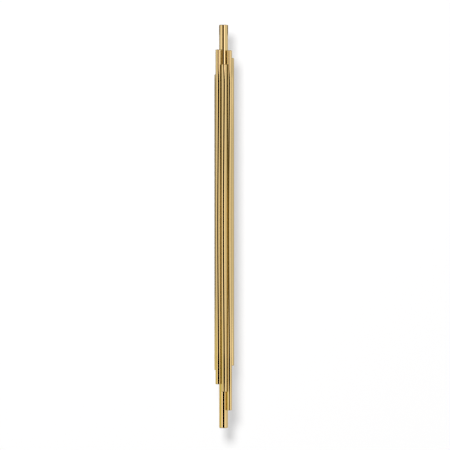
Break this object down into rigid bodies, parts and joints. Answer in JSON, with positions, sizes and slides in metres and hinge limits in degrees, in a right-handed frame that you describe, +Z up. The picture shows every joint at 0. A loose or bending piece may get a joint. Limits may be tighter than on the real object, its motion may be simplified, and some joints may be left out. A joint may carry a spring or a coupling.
{
  "type": "door pull",
  "caption": "Tall door pull made of a bundle of polished brass rods with stepped ends, brazed round a thicker bar and held off the door by turned posts.",
  "frame": {"origin": "midway between the two fixing holes, on the door's face", "axes": "+Z up the door along the rods, +Y into the door along the fixing holes, +X to the right as seen from the front of the door"},
  "size_m": [0.0264, 0.06, 0.54],
  "materials": {
    "polished_brass": "polished along the length",
    "turned_brass": "fine turned",
    "zinc_plated_steel": "bright zinc plated"
  },
  "bodies": {
    "root": {"centre_bar": "polished_brass", "front_rod": "polished_brass", "right_rod": "polished_brass", "front_left_rod": "polished_brass", "rear_left_rod": "polished_brass", "front_right_rod": "polished_brass", "upper_post": "turned_brass", "lower_post": "turned_brass", "upper_stud": "zinc_plated_steel", "lower_stud": "zinc_plated_steel"}
  },
  "joints": []
}
